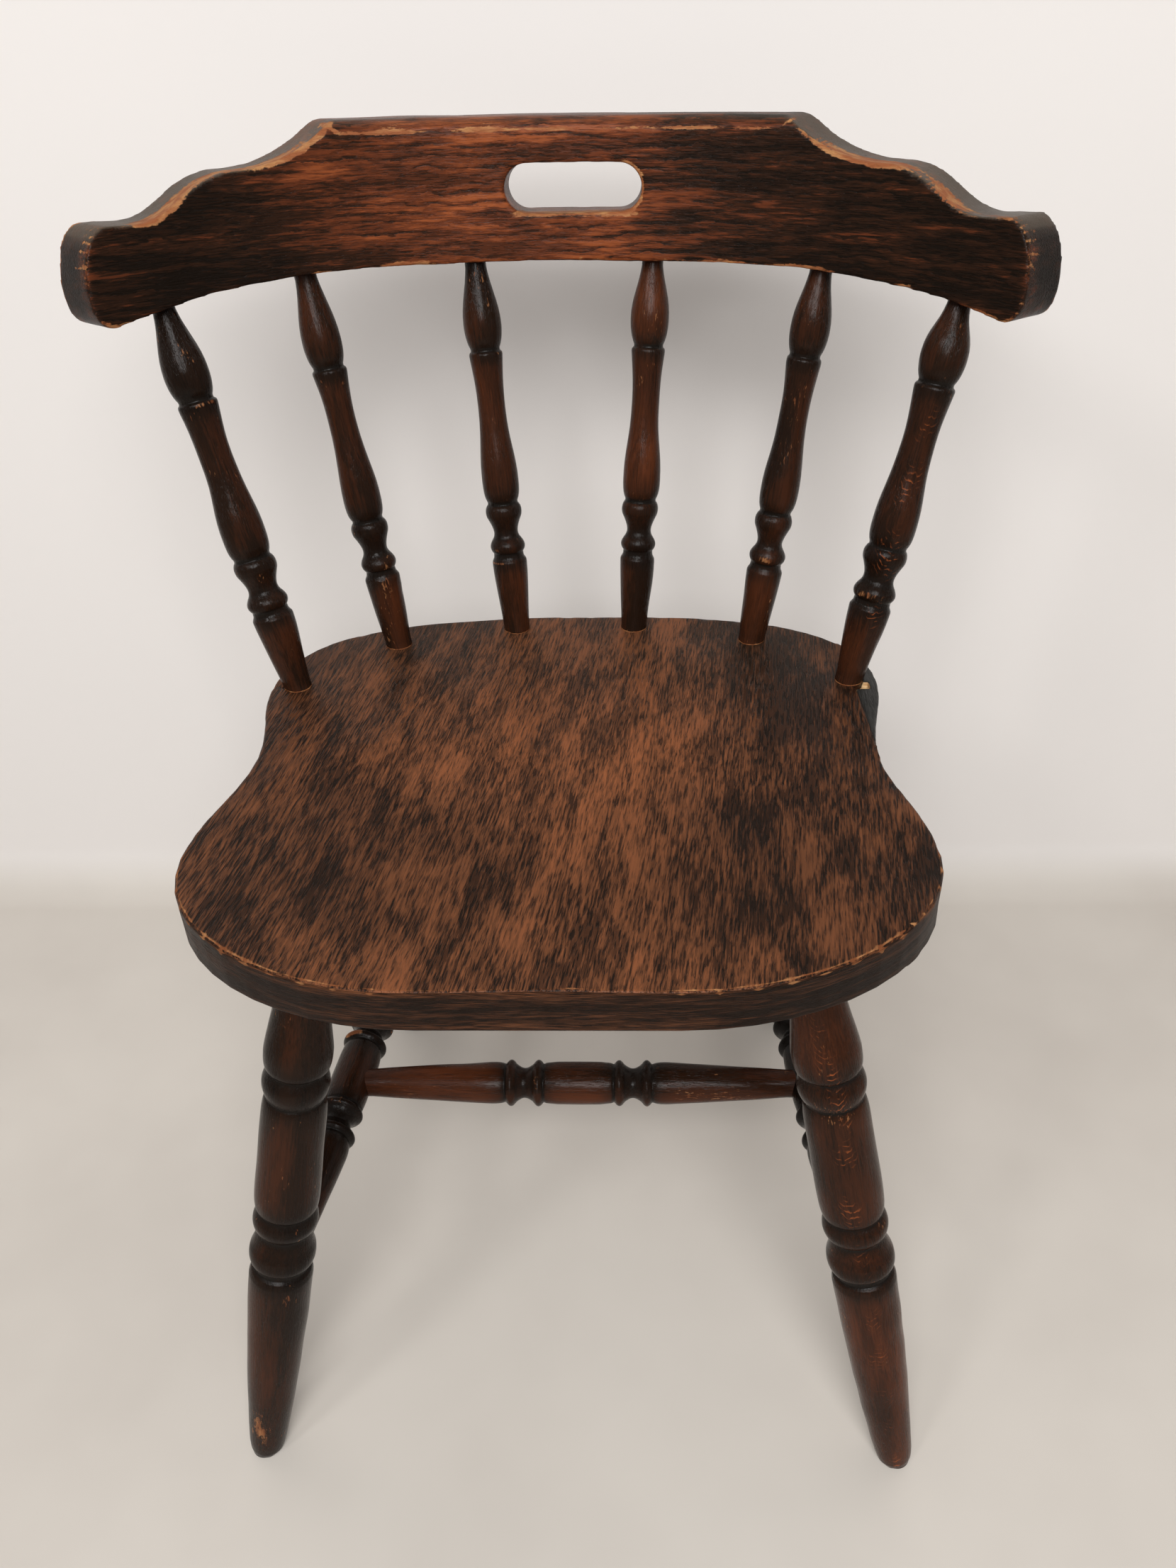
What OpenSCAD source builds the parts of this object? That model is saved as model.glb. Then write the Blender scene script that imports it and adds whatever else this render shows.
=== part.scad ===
// Low-back spindle armchair of the mates or captain's kind, in turned and dark-stained hardwood.
// A bored plank seat carries four splayed legs and six spindles, and the spindles carry a
// bent-plan crest rail with a hand slot. Two side stretchers and a cross stretcher tie the legs.
// Frame: +Z up, the front of the seat towards -Y, the floor at z = 0, and the origin on the
// floor under the centre of the chair's box. Every outline is drawn in a seat frame whose
// y = 0 is the widest line of the seat, and seat_frame_y moves the whole chair to its origin.

/* [Seat] */
// Height of the seat's top above the floor
seat_h = 450; // [380:1:520]
// Width of the seat at its widest line
seat_w = 444; // [360:1:540]
// Depth of the seat from front edge to rear edge
seat_d = 411; // [340:1:500]
// Thickness of the seat plank
seat_t = 30; // [25:1:40]
// How far the widest line lies behind the front edge
seat_widest_back = 110; // [90:1:130]
// How far each side is drawn in at the waist
seat_waist_in = 19; // [10:1:28]
// How far each side is drawn in at the rear lobe
seat_lobe_in = 6; // [0:1:12]
// How far the rear lobe lies in front of the rear edge
seat_lobe_fwd = 106; // [90:1:120]
// Depth of each of the two shallow thigh hollows
dish_depth = 4; // [2:0.5:5]
// Radius of the curve that each thigh hollow follows
dish_r = 2000; // [1500:50:3000]

/* [Legs] */
// Distance of a front leg's top from the side edge
front_leg_in = 78.5; // [65:0.5:95]
// Distance of a front leg's top from the front edge
front_leg_back = 79; // [60:1:90]
// Sideways splay of the front legs in degrees
front_splay_side = 10.9; // [4:0.1:14]
// Forward splay of the front legs in degrees
front_splay_fwd = 11.2; // [4:0.1:14]
// Distance of a rear leg's top from the side edge
rear_leg_in = 99; // [80:1:115]
// Distance of a rear leg's top from the rear edge
rear_leg_fwd = 146; // [125:1:165]
// Sideways splay of the rear legs in degrees
rear_splay_side = 8.1; // [4:0.1:14]
// Backward splay of the rear legs in degrees
rear_splay_back = 20.8; // [12:0.1:22]
// Diameter of the foot
leg_foot_d = 25.5; // [21:0.5:30]
// Diameter of the shoulder at the top of the long foot taper
leg_shoulder_d = 42; // [38:0.5:48]
// Diameter of the barrel between the ring groups
leg_barrel_d = 42; // [38:0.5:48]
// Diameter of the largest ring
leg_ring_d = 44; // [40:0.5:50]
// Diameter of the bulb below the seat
leg_bulb_d = 42.5; // [36:0.5:48]
// Diameter of the leg where it enters the seat
leg_top_d = 28; // [24:0.5:32]
// Length of the foot taper, from the floor to its shoulder
leg_taper_len = 178; // [150:1:190]
// Length of the barrel
leg_barrel_len = 91; // [70:1:96]

/* [Stretchers] */
// Height of the side stretchers at the front legs
stretcher_front_z = 159; // [145:1:175]
// Height of the side stretchers at the rear legs
stretcher_rear_z = 170; // [150:1:190]
// Diameter of a stretcher's rings
stretcher_ring_d = 35; // [32:0.5:40]
// Diameter of a stretcher's middle barrel
stretcher_barrel_d = 31.5; // [28:0.5:36]
// Diameter of a stretcher's coves
stretcher_cove_d = 22.5; // [20:0.5:26]
// Diameter of a stretcher's ends
stretcher_end_d = 21; // [18:0.5:23]
// Length of a side stretcher's middle barrel
side_barrel_len = 58; // [50:1:64]
// Length of the cross stretcher's middle barrel
cross_barrel_len = 54; // [46:1:62]
// How far the cross stretcher lies in front of the middle of the side stretchers
cross_fwd = 4; // [-6:0.5:8]
// Length of each of a stretcher's coves
stretcher_cove_len = 13; // [11:0.5:15]

/* [Spindles] */
// Distance from the middle of the chair to each inner spindle's foot
spindle_inner_x = 45; // [38:1:52]
// Distance from the middle of the chair to each inner spindle's top
spindle_inner_top_x = 61; // [54:1:70]
// Distance of the outer spindles' feet from the seat's side edge
spindle_side_inset = 19; // [16:1:24]
// Distance of the middle of the row of feet from the rear edge
spindle_rear_inset = 17.5; // [16:0.5:24]
// Distance of the outer spindles' tops from the ends of the rail
spindle_end_inset = 37; // [30:1:45]
// Greatest diameter of the four inner spindles
spindle_d = 27; // [23:0.5:30]
// Greatest diameter of the two outer spindles
outer_spindle_d = 30; // [26:0.5:33]
// Diameter of a spindle's foot where it enters the seat
spindle_foot_d = 19.5; // [17:0.5:22]
// Diameter of a spindle's top where it enters the rail
spindle_top_d = 14.5; // [13:0.5:17]
// Length of the vase at a spindle's foot
spindle_vase_len = 57; // [48:1:62]

/* [Crest rail] */
// Height of the rail's lower edge above the seat, at the middle
back_rise = 256; // [210:1:310]
// Backward lean of the row of spindles in degrees
back_lean = 12; // [6:0.5:16]
// Span of the rail between its ends, across the middle of its thickness
rail_span = 575; // [480:1:640]
// Plan radius of the middle of the rail's thickness
rail_r = 376; // [350:1:450]
// Thickness of the rail
rail_t = 36; // [30:0.5:40]
// Height of the raised middle of the rail
rail_h = 86.5; // [76:0.5:104]
// Height of the shelf beside the raised middle, above the lower edge
rail_shelf_h = 61; // [52:1:68]
// Height of the rail's end top, above the lower edge at the middle
rail_end_h = 36; // [30:0.5:42]
// How far the ends hang below the lower edge at the middle
rail_droop = 20; // [14:1:26]
// Half length of the raised middle, along the curve
rail_raised_half = 156; // [144:1:168]
// Backward lean of the rail in degrees
rail_lean = 4; // [1:0.5:10]
// How far the worn old rail dips towards the right arm, in degrees
rail_dip = 1; // [-1.5:0.1:1.5]
// Radius of the roll along the rail's front top edge
rail_roll_r = 9; // [6:0.5:12]
// Length of the hand slot
slot_w = 90; // [75:1:110]
// Height of the hand slot
slot_h = 29; // [25:0.5:36]
// Height of the slot's centre above the rail's lower edge
slot_z = 44.5; // [40:0.5:48]
// Sideways offset of the hand slot
slot_x = 8; // [-10:1:12]

/* [Repaired corner] */
// How far the seam passes outside the right outer spindle's axis
seam_out = 3; // [2:0.5:5]
// How far the repair strip reaches in front of the seat's lobe
patch_fwd = 75; // [60:1:75]
// Length of the chip knocked out of the repair strip, along the seam
chip_len = 8.5; // [5:0.5:10]
// Depth of the chip below the seat's top
chip_depth = 4; // [2:0.5:6]

/* [Joints] */
// Radial clearance of every round end in its socket
fit = 0.15; // [0.1:0.05:0.3]
// Gap between the end of a tenon and the bottom of its socket
end_gap = 0.3; // [0.2:0.1:0.6]
// Wood left between the bottom of a seat socket and the far face
seat_web = 9; // [8:0.5:11]
// Depth of the spindles' sockets in the rail
rail_socket = 24; // [18:1:26]

/* [Hidden] */
$fn = 96;

stain = "#4a2a1e";       // dark red-brown stain of the turned parts
seat_stain = "#5c3a2a";  // the plank, a little paler where it is worn
patch_black = "#2a2825"; // black paint on the repair strip

// ---- Seat outline, in the seat frame: half widths, and the y of each line.
widest_hw = seat_w / 2;
waist_hw = widest_hw - seat_waist_in;
lobe_hw = widest_hw - seat_lobe_in;
front_y = -seat_widest_back;
rear_y = front_y + seat_d;
lobe_y = rear_y - seat_lobe_fwd;
waist_y = lobe_y * 0.545;
flat_hw = 70;
shoulder_in = 76;
shoulder_fwd = 15;
under_z = seat_h - seat_t;
hollow_share = 0.38;
hollow_flat = 20;
hollow_steps = 7;

chip_w = 11;
foot_bevel = 2.6;

// ---- Leg axes: where each axis crosses the seat's underside, and where it meets the floor.
front_top = [widest_hw - front_leg_in, front_y + front_leg_back, under_z];
front_foot = [front_top[0] + under_z * tan(front_splay_side),
              front_top[1] - under_z * tan(front_splay_fwd), 0];
rear_top = [widest_hw - rear_leg_in, rear_y - rear_leg_fwd, under_z];
rear_foot = [rear_top[0] + under_z * tan(rear_splay_side),
             rear_top[1] + under_z * tan(rear_splay_back), 0];

// ---- Rail: its own frame has z along the lean and y = 0 at the middle of its thickness.
row_mid_y = rear_y - spindle_rear_inset;
rail_z = seat_h + back_rise;
rail_y = row_mid_y + back_rise * tan(back_lean);
rail_back_round = 4;
end_angle = asin(rail_span / 2 / rail_r);
half_arc = rail_r * end_angle * PI / 180;
droop_from = 100;
end_round = 14;

// ---- Placing of the whole chair, so that its box is centred on the origin.
front_extent = front_foot[1] - (leg_foot_d / 2 - 0.7 * foot_bevel) / cos(front_splay_fwd);
rear_extent = max(rear_foot[1] + leg_foot_d / 2 / cos(rear_splay_back),
                  rail_y + rail_back_round + (rail_t / 2 - rail_back_round) * cos(rail_lean)
                  + (rail_h - rail_back_round) * sin(rail_lean));
seat_frame_y = -(front_extent + rear_extent) / 2;

// ---- Spindle feet on the seat and tops on the rail, for half = 0 inner, 1 middle, 2 outer.
row_share = [0, 0.58, 1];
row_power = 3.3;
outer_foot_x = lobe_hw - spindle_side_inset;
outer_foot_y = lobe_y + 4;
outer_top_x = rail_span / 2 - spindle_end_inset;
function foot_x(k) = spindle_inner_x + row_share[k] * (outer_foot_x - spindle_inner_x);
function foot_y(x) = row_mid_y - (row_mid_y - outer_foot_y) * pow(x / outer_foot_x, row_power);
function foot_at(k) = [foot_x(k), foot_y(foot_x(k)), seat_h];
function top_x(k) = spindle_inner_top_x + row_share[k] * (outer_top_x - spindle_inner_top_x);
function rail_low(s) =
    -rail_droop * pow(max(0, (s - droop_from) / (half_arc - end_round - droop_from)), 2.6);
// A point at the middle of the rail's thickness, at an angle round the curve and a height.
function rail_point(angle, h) =
    let (x = rail_r * sin(angle), y = rail_r * cos(angle) - rail_r,
         z = h * cos(rail_lean) - y * sin(rail_lean))
    [x * cos(rail_dip) + z * sin(rail_dip),
     rail_y + y * cos(rail_lean) + h * sin(rail_lean),
     rail_z + z * cos(rail_dip) - x * sin(rail_dip)];
function top_at(k, side) =
    let (a = asin(top_x(k) / rail_r))
    rail_point(side * a, rail_low(rail_r * a * PI / 180));
function mirrored(p, side) = [side * p[0], p[1], p[2]];
function at_height(low, high, z) = low + (high - low) * ((z - low[2]) / (high[2] - low[2]));

// ---- Curves. Each gives the points after its start, so that curves can be chained.
function bezier(a, b, c, d, n = 8) =
    [for (i = [1:n]) let (t = i / n, u = 1 - t)
        u * u * u * a + 3 * u * u * t * b + 3 * u * t * t * c + t * t * t * d];
function ease(a, b, n = 8) =
    [for (i = [1:n]) let (t = i / n)
        [a[0] + (b[0] - a[0]) * (1 - cos(180 * t)) / 2, a[1] + (b[1] - a[1]) * t]];
// A bead or, with a negative rise, a cove between two heights, of edge radius r.
function swell(r, rise, from, to, n = 8) =
    [for (i = [1:n]) let (t = i / n) [r + rise * sin(180 * t), from + (to - from) * t]];
function corner(centre, r, from, to, n = 6) =
    [for (i = [0:n]) let (a = from + (to - from) * i / n) centre + r * [cos(a), sin(a)]];

// Stands a child's z axis on the line from a to b, with its origin at a. The part turn
// keeps the seam line of a round child off the plane it leans in.
module along(a, b) {
    d = b - a;
    part_turn = 50;
    translate(a)
        rotate([0, acos(d[2] / norm(d)), atan2(d[1], d[0])])
            rotate([0, 0, part_turn])
                children();
}

// Moves a part from the seat frame to its place in the whole chair.
module placed() {
    translate([0, seat_frame_y, 0])
        children();
}

module turned(profile) {
    rotate_extrude()
        polygon(profile);
}

// ---- Seat
function seat_half() = concat(
    [[0, front_y], [flat_hw, front_y]],
    bezier([flat_hw, front_y], [flat_hw + 80, front_y],
           [widest_hw, front_y * 0.56], [widest_hw, 0], 12),
    bezier([widest_hw, 0], [widest_hw, waist_y * 0.38],
           [waist_hw, waist_y * 0.66], [waist_hw, waist_y], 6),
    bezier([waist_hw, waist_y], [waist_hw, waist_y * 1.32],
           [lobe_hw, lobe_y - 30], [lobe_hw, lobe_y], 6),
    bezier([lobe_hw, lobe_y], [lobe_hw, lobe_y + 47],
           [lobe_hw - 31, rear_y - 29], [lobe_hw - shoulder_in, rear_y - shoulder_fwd], 10),
    bezier([lobe_hw - shoulder_in, rear_y - shoulder_fwd],
           [lobe_hw - shoulder_in - 40, rear_y - 2.6],
           [lobe_hw - shoulder_in - 90, rear_y], [0, rear_y], 8));

module seat_outline() {
    half = seat_half();
    polygon(concat(half, [for (i = [len(half) - 2:-1:1]) [-half[i][0], half[i][1]]]));
}

// A shallow round hollow, flat in the middle, that opens upwards from z = 0.
module thigh_hollow() {
    rim = dish_depth + 1;
    reach = sqrt(2 * dish_r * rim);
    rotate_extrude()
        polygon(concat(
            [[0, rim], [0, 0]],
            [for (i = [0:hollow_steps]) let (t = i / hollow_steps)
                [hollow_flat + (reach - hollow_flat) * t, rim * t * t]]));
}

module seat_blank() {
    difference() {
        translate([0, 0, under_z])
            linear_extrude(seat_t)
                seat_outline();
        for (side = [-1, 1])
            translate([side * hollow_share * widest_hw, 0, seat_h - dish_depth])
                thigh_hollow();
    }
}

// The repair strip's side of the seam, which runs with the grain through the socket.
module patch_zone() {
    seam_x = outer_foot_x + seam_out;
    tip_y = lobe_y - patch_fwd;
    translate([0, 0, under_z - 1])
        linear_extrude(seat_t + 2)
            polygon([[waist_hw - 0.4, tip_y], [seam_x, lobe_y], [seam_x - 1, rear_y],
                     [widest_hw + 20, rear_y], [widest_hw + 20, tip_y]]);
}

module spindle_sockets(sides) {
    for (side = sides, k = [0:2])
        along(mirrored(foot_at(k), side), top_at(k, side))
            translate([0, 0, -(seat_t - seat_web) - end_gap])
                cylinder(d = spindle_foot_d + 2 * fit, h = seat_t);
}

module leg_sockets() {
    for (side = [-1, 1], leg = [[front_foot, front_top], [rear_foot, rear_top]])
        along(mirrored(leg[1], side), mirrored(2 * leg[1] - leg[0], side))
            translate([0, 0, -seat_t / 2])
                cylinder(d = leg_top_d + 2 * fit, h = seat_t / 2 + seat_t - seat_web + end_gap);
}

module seat() {
    color(seat_stain)
        placed() difference() {
            seat_blank();
            patch_zone();
            spindle_sockets([-1, 1]);
            leg_sockets();
        }
}

module seat_corner_patch() {
    color(patch_black)
        placed() difference() {
            intersection() {
                seat_blank();
                patch_zone();
            }
            spindle_sockets([1]);
            translate([outer_foot_x + seam_out - 1, lobe_y - 9, seat_h - chip_depth])
                cube([chip_w, chip_len, chip_depth + 1]);
        }
}

// ---- Legs: one turned pattern, from the floor up. The bulb takes up what is left of the length.
groove = 4;
foot_ring_len = 27;
foot_lip = 13;
foot_bead_len = 18;
top_ring_len = 21;
notch = 3;
function leg_profile(length) =
    let (taper = leg_taper_len, foot_ring = taper + groove, bead = foot_ring + foot_ring_len,
         barrel = bead + foot_bead_len, top_ring = barrel + leg_barrel_len,
         bulb = top_ring + top_ring_len, neck = length - 8,
         r_foot = leg_foot_d / 2, r_shoulder = leg_shoulder_d / 2, r_barrel = leg_barrel_d / 2,
         r_ring = leg_ring_d / 2, r_bead = r_ring - 1, r_bulb = leg_bulb_d / 2, r_top = leg_top_d / 2)
    concat(
        [[0, -15], [r_foot - foot_bevel, -15], [r_foot - foot_bevel, -2], [r_foot - 1, 2.5], [r_foot, 9]],
        bezier([r_foot, 9], [r_foot + 3.8, 45], [r_shoulder - 0.6, 115], [r_shoulder, taper - 6], 6),
        [[r_shoulder - 1, taper - 2], [r_shoulder - notch, taper], [r_ring - 4, foot_ring]],
        bezier([r_ring - 2, foot_ring + 0.5], [r_ring + 0.2, foot_ring + 4],
               [r_ring + 0.2, foot_ring + 9], [r_ring - 0.8, foot_ring + foot_lip], 7),
        bezier([r_ring - 1.8, foot_ring + foot_lip + 0.5], [r_ring - 2.2, foot_ring + foot_lip + 6],
               [r_bead - notch - 1, bead - 3], [r_bead - notch - 1, bead], 6),
        swell(r_bead - notch, notch, bead, barrel, 8),
        bezier([r_bead - notch, barrel], [r_barrel - 0.6, barrel + 1.5],
               [r_barrel, barrel + 6], [r_barrel, barrel + 18], 7),
        [[r_barrel - 0.4, top_ring - 40], [r_barrel - 0.8, top_ring - 12]],
        bezier([r_barrel - 0.8, top_ring - 12], [r_barrel - 1, top_ring - 5],
               [r_barrel - 1.8, top_ring - 1], [r_bead - notch, top_ring], 4),
        swell(r_bead - notch, notch, top_ring, bulb, 8),
        bezier([r_bead - notch, bulb], [r_bulb - 0.4, bulb + 1.5],
               [r_bulb, bulb + 6], [r_bulb, bulb + 14], 7),
        bezier([r_bulb, bulb + 14], [r_bulb - 0.8, bulb + 25],
               [r_top + 2, bulb + 38], [r_top, neck], 10),
        [[r_top, length + seat_t - seat_web], [0, length + seat_t - seat_web]]);

// One leg, cut level at the floor, with the socket of its side stretcher.
module leg(foot, top, stretcher_near, stretcher_far) {
    color(stain)
        placed() difference() {
            along(foot, top)
                turned(leg_profile(norm(top - foot)));
            translate([foot[0] - 50, foot[1] - 50, -60])
                cube([100, 100, 60]);
            along(stretcher_near, stretcher_far)
                translate([0, 0, -end_gap])
                    cylinder(d = stretcher_end_d + 2 * fit, h = 60);
        }
}

function stretcher_front(side) = mirrored(at_height(front_foot, front_top, stretcher_front_z), side);
function stretcher_rear(side) = mirrored(at_height(rear_foot, rear_top, stretcher_rear_z), side);
function stretcher_middle(side) =
    let (a = stretcher_front(side), b = stretcher_rear(side), share = 0.5 - cross_fwd / norm(b - a))
    a + share * (b - a);

module front_leg(side) {
    leg(mirrored(front_foot, side), mirrored(front_top, side),
        stretcher_front(side), stretcher_rear(side));
}

module rear_leg(side) {
    leg(mirrored(rear_foot, side), mirrored(rear_top, side),
        stretcher_rear(side), stretcher_front(side));
}

// ---- Stretchers: the pattern is the same both ways from the middle, and the tapers take up
// what is left. straight is how far the plain end runs before it starts to swell.
ring_len = 8;
function stretcher_half(half, straight, barrel_len) =
    let (r_bar = stretcher_barrel_d / 2, r_ring = stretcher_ring_d / 2,
         r_cove = stretcher_cove_d / 2, r_end = stretcher_end_d / 2,
         ring_a = barrel_len / 2, cove = ring_a + ring_len,
         ring_b = cove + stretcher_cove_len, taper = ring_b + ring_len)
    concat(
        [[r_bar + 0.4, 0], [r_bar + 0.2, ring_a * 0.6], [r_bar - 0.6, ring_a - 2], [r_bar - 1.6, ring_a]],
        swell(r_bar - 1.6, r_ring - r_bar + 1.6, ring_a, cove, 8),
        swell(r_bar - 1.6, r_cove - r_bar + 1.6, cove, ring_b, 8),
        swell(r_bar - 1.6, r_ring - r_bar + 1.6, ring_b, taper, 8),
        bezier([r_bar - 1.6, taper], [r_bar - 0.2, taper + 3],
               [r_bar, taper + 7], [r_bar - 0.1, taper + 12], 5),
        bezier([r_bar - 0.1, taper + 12], [r_bar - 1, taper + 30],
               [r_end + 1.5, half - straight - 18], [r_end, half - straight], 6),
        [[r_end, half]]);

module stretcher(a, b, straight, barrel_len) {
    length = norm(b - a);
    half = stretcher_half(length / 2, straight, barrel_len);
    upper = [for (p = half) [p[0], length / 2 + p[1]]];
    lower = [for (i = [len(half) - 1:-1:1]) [half[i][0], length / 2 - half[i][1]]];
    along(a, b)
        turned(concat([[0, 0]], lower, upper, [[0, length]]));
}

module side_stretcher(side) {
    color(stain)
        placed() difference() {
            stretcher(stretcher_front(side), stretcher_rear(side), leg_ring_d / 2 + 8, side_barrel_len);
            along(stretcher_middle(side), stretcher_middle(-side))
                translate([0, 0, -end_gap])
                    cylinder(d = stretcher_end_d + 2 * fit, h = 40);
        }
}

module cross_stretcher() {
    color(stain)
        placed() stretcher(stretcher_middle(-1), stretcher_middle(1),
                           stretcher_barrel_d / 2 + 3, cross_barrel_len);
}

// ---- Spindles: vase, bead and flared ring, long waisted body, bulb. The bulb takes up
// what is left of the length. k is 0 for inner, 1 for middle and 2 for outer.
spindle_bead_len = 9;
spindle_neck_len = 17;
spindle_flare_len = 9;
spindle_groove = 3;
spindle_body_len = 104;
function spindle_profile(length, d) =
    let (vase = spindle_vase_len, bead = vase + spindle_groove, neck = bead + spindle_bead_len,
         flare = neck + spindle_neck_len, body = flare + spindle_flare_len + spindle_groove,
         collar = body + spindle_body_len, bulb = collar + spindle_groove,
         r = d / 2, r_foot = spindle_foot_d / 2, r_top = spindle_top_d / 2)
    concat(
        [[0, -(seat_t - seat_web)], [r_foot, -(seat_t - seat_web)], [r_foot, 4]],
        bezier([r_foot, 4], [r_foot + 1, 20], [r - 0.8, vase - 18], [r - 0.6, vase - 4], 6),
        ease([r - 0.6, vase - 4], [r - 2.4, vase], 4),
        [[r - 2.6, bead]],
        swell(r - 2.2, 1.7, bead, neck, 6),
        bezier([r - 2.2, neck], [r - 5.6, neck + 4], [r - 5.6, flare - 9], [r - 0.6, flare + 1], 8),
        bezier([r - 0.6, flare + 1], [r + 0.2, flare + 4],
               [r, flare + 7], [r - 1.4, flare + spindle_flare_len], 4),
        [[r - 2.4, flare + spindle_flare_len + 1], [r - 2.4, body]],
        bezier([r - 2.4, body], [r - 0.6, body + 3], [r, body + 7], [r, body + 14], 5),
        bezier([r, body + 14], [r, body + 34], [r * 0.735, body + 40], [r * 0.72, body + 68], 8),
        bezier([r * 0.72, body + 68], [r * 0.71, body + 84],
               [r * 0.8, collar - 12], [r * 0.88, collar - 1.5], 6),
        [[r * 0.86, collar], [r * 0.76, collar + 1], [r * 0.76, bulb]],
        bezier([r * 0.76, bulb], [r * 0.92, bulb + 4], [r * 0.98, bulb + 10], [r * 0.98, bulb + 16], 6),
        bezier([r * 0.98, bulb + 16], [r * 0.98, bulb + 30],
               [r_top + 1.6, length - 18], [r_top, length - 5], 8),
        [[r_top, length + rail_socket], [0, length + rail_socket]]);

module spindle(side, k) {
    a = mirrored(foot_at(k), side);
    b = top_at(k, side);
    color(stain)
        placed() along(a, b)
            turned(spindle_profile(norm(b - a), k == 2 ? outer_spindle_d : spindle_d));
}

// ---- Crest rail
// Each arm of the rail is drawn laid out flat: the first number runs along the curve from the
// middle and the second is the height. The shoulder comes down from the raised middle's corner
// to the shelf, the next curve falls from the shelf to the ledge, and the end goes round the
// tip and back along the lower edge.
shelf_at = 66;
ledge_at = 132;
function rail_shoulder() =
    let (s = rail_raised_half)
    concat(
        [[s - 9, rail_h + 0.5]],
        bezier([s - 9, rail_h + 0.5], [s - 3, rail_h], [s, rail_h - 1.4], [s + 4, rail_h - 4.5], 4),
        bezier([s + 4, rail_h - 4.5], [s + 14, rail_h - 11.5],
               [s + 34, rail_shelf_h], [s + shelf_at, rail_shelf_h], 8));
function rail_ledge() =
    let (shelf = rail_raised_half + shelf_at, ledge = rail_raised_half + ledge_at)
    concat(
        [[shelf - 4, rail_shelf_h + 0.6]],
        bezier([shelf - 4, rail_shelf_h + 0.6], [shelf + 31, rail_shelf_h],
               [shelf + 39, rail_end_h], [ledge, rail_end_h], 9));
function rail_end() =
    let (e = half_arc, tip = e - end_round)
    concat(
        [[e - 26, rail_end_h + 3]],
        bezier([e - 26, rail_end_h + 3], [e - 8, rail_end_h + 2.5],
               [e - 0.5, rail_end_h - 13], [e, 2], 7),
        bezier([e, 2], [e + 0.5, -12], [e - 4, -rail_droop], [tip, -rail_droop], 6),
        [for (i = [11:-1:0]) let (x = droop_from + (tip - droop_from) * i / 12) [x, rail_low(x)]],
        [[-30, 0]]);

// An outline drawn along the right arm, run through the arm squarely to it at one angle.
module arm_cut(angle, outline) {
    rotate([0, 0, -angle])
        translate([0, rail_r + 60, 0])
            rotate([90, 0, 0])
                linear_extrude(260)
                    polygon([for (p = outline)
                        [rail_r * sin(p[0] / rail_r * 180 / PI - angle), p[1]]]);
}

// Everything that is cut from the band round the right arm.
module arm_waste() {
    far = half_arc + 40;
    high = rail_h + 10;
    low = -rail_droop - 20;
    per_mm = 180 / PI / rail_r;
    shoulder_angle = (rail_raised_half + shelf_at * 0.9) * per_mm;
    ledge_angle = (rail_raised_half + ledge_at * 0.8) * per_mm;
    arm_cut(shoulder_angle,
            concat([[rail_raised_half - 9, high]], rail_shoulder(),
                   [[far, rail_shelf_h], [far, high]]));
    arm_cut(ledge_angle,
            concat([[rail_raised_half + shelf_at - 4, high]], rail_ledge(),
                   [[far, rail_end_h + 4], [far, high]]));
    arm_cut(end_angle - 2,
            concat([[half_arc - 26, high]], rail_end(), [[-30, low], [far, low], [far, high]]));
}

// The band that the rail is cut from, with its rolled top edges.
module rail_band() {
    low = -rail_droop - 10;
    top = rail_h;
    inner = rail_r - rail_t / 2;
    outer = rail_r + rail_t / 2;
    spread = end_angle + 3;
    rotate([0, 0, 90 - spread])
        rotate_extrude(angle = 2 * spread)
            polygon(concat(
                [[outer, low]],
                corner([outer - rail_back_round, top - rail_back_round], rail_back_round, 0, 90, 4),
                corner([inner + rail_roll_r, top - rail_roll_r], rail_roll_r, 90, 180, 6),
                [[inner, low]]));
}

module rail_body() {
    translate([0, -rail_r, 0])
        difference() {
            rail_band();
            arm_waste();
            mirror([1, 0, 0])
                arm_waste();
        }
}

module hand_slot() {
    reach = slot_w / 2 - slot_h / 2;
    translate([slot_x, 50, slot_z])
        rotate([90, 0, 0])
            linear_extrude(100) {
                square([2 * reach, slot_h], center = true);
                for (side = [-1, 1])
                    translate([side * reach, 0])
                        circle(d = slot_h);
            }
}

module crest_rail() {
    color(stain)
        placed() difference() {
            translate([0, rail_y, rail_z])
                rotate([-rail_lean, rail_dip, 0])
                    difference() {
                        rail_body();
                        hand_slot();
                    }
            for (side = [-1, 1], k = [0:2])
                along(top_at(k, side), 2 * top_at(k, side) - mirrored(foot_at(k), side))
                    translate([0, 0, -20])
                        cylinder(d = spindle_top_d + 2 * fit, h = 20 + rail_socket + end_gap);
        }
}

seat();
seat_corner_patch();
front_leg(-1);  // leg_front_left
front_leg(1);  // leg_front_right
rear_leg(-1);  // leg_rear_left
rear_leg(1);  // leg_rear_right
side_stretcher(-1);  // side_stretcher_left
side_stretcher(1);  // side_stretcher_right
cross_stretcher();
spindle(-1, 2);  // spindle_1
spindle(-1, 1);  // spindle_2
spindle(-1, 0);  // spindle_3
spindle(1, 0);  // spindle_4
spindle(1, 1);  // spindle_5
spindle(1, 2);  // spindle_6
crest_rail();
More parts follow.
